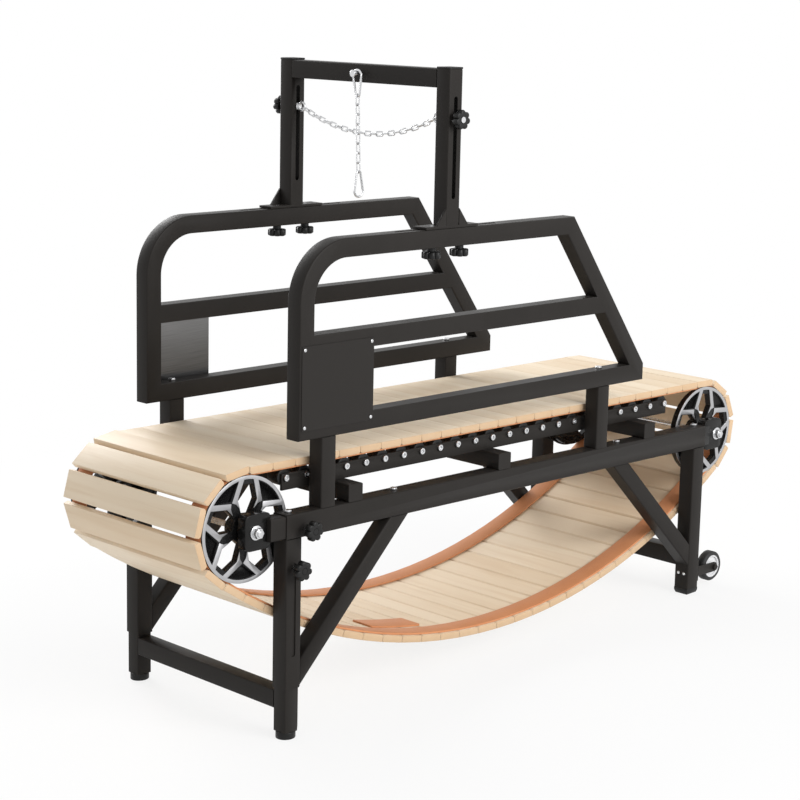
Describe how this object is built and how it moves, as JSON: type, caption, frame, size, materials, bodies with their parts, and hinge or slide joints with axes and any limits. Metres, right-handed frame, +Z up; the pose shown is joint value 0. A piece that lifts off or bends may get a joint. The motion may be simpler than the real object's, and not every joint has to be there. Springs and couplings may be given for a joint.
{
  "type": "dog treadmill",
  "caption": "Unpowered dog treadmill: a slatted wooden belt on spoked wheels in a tube frame, with side guards, a sliding gantry and a tether.",
  "frame": {"origin": "on the floor, under the middle of the bounding box, in the plane of symmetry", "axes": "+X towards the low rear end, -X where the animal faces, -Y to the animal's left, +Z up"},
  "size_m": [1.6805, 0.574, 1.2897],
  "materials": {
    "frame_coat": "satin charcoal powder coat",
    "black_plastic": "fine-grained moulded black",
    "zinc_steel": "bright zinc plate",
    "bearing_steel": "ground steel",
    "birch": "pale sanded birch, clear oil",
    "strap_leather": "tan belting leather",
    "wheel_alloy": "gloss black casting with machined bright edges",
    "caster_rubber": "black tyre on a pale hub"
  },
  "bodies": {
    "frame": {"side_rail_l": "frame_coat", "side_rail_r": "frame_coat", "front_leg_l": "frame_coat", "front_leg_r": "frame_coat", "rear_leg_l": "frame_coat", "rear_leg_r": "frame_coat", "leg_braces": "frame_coat", "rear_crossbar": "frame_coat", "rear_feet": "black_plastic", "caster_forks": "frame_coat", "deck_beams": "frame_coat", "roller_rail_l": "frame_coat", "roller_rail_r": "frame_coat", "deck_rollers": "black_plastic", "roller_bolts": "zinc_steel", "guard_posts": "frame_coat", "guard_l": "frame_coat", "guard_r": "frame_coat", "guard_plates": "frame_coat", "frame_bolts": "zinc_steel", "rear_axle_blocks": "frame_coat", "rear_axle": "zinc_steel", "belt_slats": "birch", "belt_straps": "strap_leather"},
    "tension_carriage": {"tension_arms": "frame_coat", "front_axle_blocks": "frame_coat", "front_axle": "zinc_steel"},
    "front_wheels": {"wheel_front_l": "wheel_alloy", "wheel_front_r": "wheel_alloy", "front_bearings": "bearing_steel"},
    "rear_wheels": {"wheel_rear_l": "wheel_alloy", "wheel_rear_r": "wheel_alloy", "rear_bearings": "bearing_steel"},
    "caster_l": {"caster_wheel_l": "caster_rubber"},
    "caster_r": {"caster_wheel_r": "caster_rubber"},
    "front_stand": {"stand_legs": "frame_coat", "stand_crossbar": "frame_coat", "front_feet": "black_plastic"},
    "gantry": {"gantry_posts": "frame_coat", "gantry_crossbar": "frame_coat", "gantry_bases": "frame_coat", "gantry_caps": "black_plastic", "leash_stud": "zinc_steel"},
    "chain_carriage": {"eye_bolts": "zinc_steel", "cross_chain": "zinc_steel"},
    "leash_hook": {"leash_hook_top": "zinc_steel"},
    "leash_gate": {"hook_gate_top": "zinc_steel"},
    "leash": {"leash_chain": "zinc_steel"},
    "harness_clip": {"leash_hook_bottom": "zinc_steel"},
    "harness_gate": {"hook_gate_bottom": "zinc_steel"},
    "tension_knob_l": {"tension_knob_l": "black_plastic"},
    "tension_knob_r": {"tension_knob_r": "black_plastic"},
    "leg_knob_l": {"leg_knob_l": "black_plastic"},
    "leg_knob_r": {"leg_knob_r": "black_plastic"},
    "anchor_knob_l": {"anchor_knob_l": "black_plastic"},
    "anchor_knob_r": {"anchor_knob_r": "black_plastic"},
    "gantry_knob_fl": {"gantry_knob_fl": "black_plastic"},
    "gantry_knob_rl": {"gantry_knob_rl": "black_plastic"},
    "gantry_knob_fr": {"gantry_knob_fr": "black_plastic"},
    "gantry_knob_rr": {"gantry_knob_rr": "black_plastic"}
  },
  "joints": [
    {"name": "tension_slide", "type": "slide", "parent": "frame", "child": "tension_carriage", "axis": [0.9992, 0, -0.0391], "range_m": [0, 0.012]},
    {"name": "front_wheel_spin", "type": "hinge", "parent": "tension_carriage", "child": "front_wheels", "pos_m": [-0.72545, 0, 0.43605], "axis": [0, 1, 0], "continuous": true},
    {"name": "rear_wheel_spin", "type": "hinge", "parent": "frame", "child": "rear_wheels", "pos_m": [0.70646, 0, 0.38007], "axis": [0, 1, 0], "continuous": true},
    {"name": "stand_slide", "type": "slide", "parent": "frame", "child": "front_stand", "axis": [-0.0391, 0, -0.9992], "range_m": [0, 0.17]},
    {"name": "caster_spin_l", "type": "hinge", "parent": "frame", "child": "caster_l", "pos_m": [0.71196, -0.235, 0.0471], "axis": [0, 1, 0], "continuous": true},
    {"name": "tension_knob_turn_l", "type": "hinge", "parent": "frame", "child": "tension_knob_l", "pos_m": [-0.61137, -0.264, 0.42308], "axis": [0, -1, 0], "range_deg": [0, 450]},
    {"name": "leg_knob_turn_l", "type": "hinge", "parent": "front_stand", "child": "leg_knob_l", "pos_m": [-0.64225, -0.264, 0.34973], "axis": [0, -1, 0], "range_deg": [0, 450]},
    {"name": "caster_spin_r", "type": "hinge", "parent": "frame", "child": "caster_r", "pos_m": [0.71196, 0.235, 0.0471], "axis": [0, 1, 0], "continuous": true},
    {"name": "tension_knob_turn_r", "type": "hinge", "parent": "frame", "child": "tension_knob_r", "pos_m": [-0.61137, 0.264, 0.42308], "axis": [0, 1, 0], "range_deg": [0, 450]},
    {"name": "leg_knob_turn_r", "type": "hinge", "parent": "front_stand", "child": "leg_knob_r", "pos_m": [-0.64225, 0.264, 0.34973], "axis": [0, 1, 0], "range_deg": [0, 450]},
    {"name": "gantry_slide", "type": "slide", "parent": "frame", "child": "gantry", "axis": [0.9992, 0, -0.0391], "range_m": [-0.1, 0.1]},
    {"name": "gantry_knob_turn_fl", "type": "hinge", "parent": "gantry", "child": "gantry_knob_fl", "pos_m": [-0.24123, -0.236, 0.93121], "axis": [-0.0391, 0, -0.9992], "range_deg": [0, 450]},
    {"name": "gantry_knob_turn_rl", "type": "hinge", "parent": "gantry", "child": "gantry_knob_rl", "pos_m": [-0.16029, -0.236, 0.92805], "axis": [-0.0391, 0, -0.9992], "range_deg": [0, 450]},
    {"name": "gantry_knob_turn_fr", "type": "hinge", "parent": "gantry", "child": "gantry_knob_fr", "pos_m": [-0.24123, 0.236, 0.93121], "axis": [-0.0391, 0, -0.9992], "range_deg": [0, 450]},
    {"name": "gantry_knob_turn_rr", "type": "hinge", "parent": "gantry", "child": "gantry_knob_rr", "pos_m": [-0.16029, 0.236, 0.92805], "axis": [-0.0391, 0, -0.9992], "range_deg": [0, 450]},
    {"name": "anchor_slide", "type": "slide", "parent": "gantry", "child": "chain_carriage", "axis": [0.0391, 0, 0.9992], "range_m": [-0.15, 0.035]},
    {"name": "anchor_knob_turn_l", "type": "hinge", "parent": "chain_carriage", "child": "anchor_knob_l", "pos_m": [-0.19074, -0.2553, 1.18603], "axis": [0, -1, 0], "range_deg": [0, 450]},
    {"name": "anchor_knob_turn_r", "type": "hinge", "parent": "chain_carriage", "child": "anchor_knob_r", "pos_m": [-0.19074, 0.2553, 1.18603], "axis": [0, 1, 0], "range_deg": [0, 450]},
    {"name": "hook_swing", "type": "hinge", "parent": "gantry", "child": "leash_hook", "pos_m": [-0.21859, 0, 1.26718], "axis": [1, 0, 0], "range_deg": [-45, 45]},
    {"name": "leash_gate_snap", "type": "hinge", "parent": "leash_hook", "child": "leash_gate", "pos_m": [-0.21859, 0.00592, 1.22498], "axis": [1, 0, 0], "range_deg": [0, 10], "stiffness_Nm_per_rad": 0.05, "springref_deg": -17.19},
    {"name": "leash_swing", "type": "hinge", "parent": "leash_hook", "child": "leash", "pos_m": [-0.21859, 0, 1.21998], "axis": [0, 1, 0], "range_deg": [-3, 60]},
    {"name": "clip_swing", "type": "hinge", "parent": "leash", "child": "harness_clip", "pos_m": [-0.21859, 0, 1.06528], "axis": [1, 0, 0], "range_deg": [-60, 60]},
    {"name": "harness_gate_snap", "type": "hinge", "parent": "harness_clip", "child": "harness_gate", "pos_m": [-0.21268, 0, 1.06028], "axis": [0, 1, 0], "range_deg": [0, 10], "stiffness_Nm_per_rad": 0.05, "springref_deg": -17.19}
  ],
  "couplings": [
    {"joint": "rear_wheel_spin", "follows": "front_wheel_spin", "ratio": 1}
  ]
}
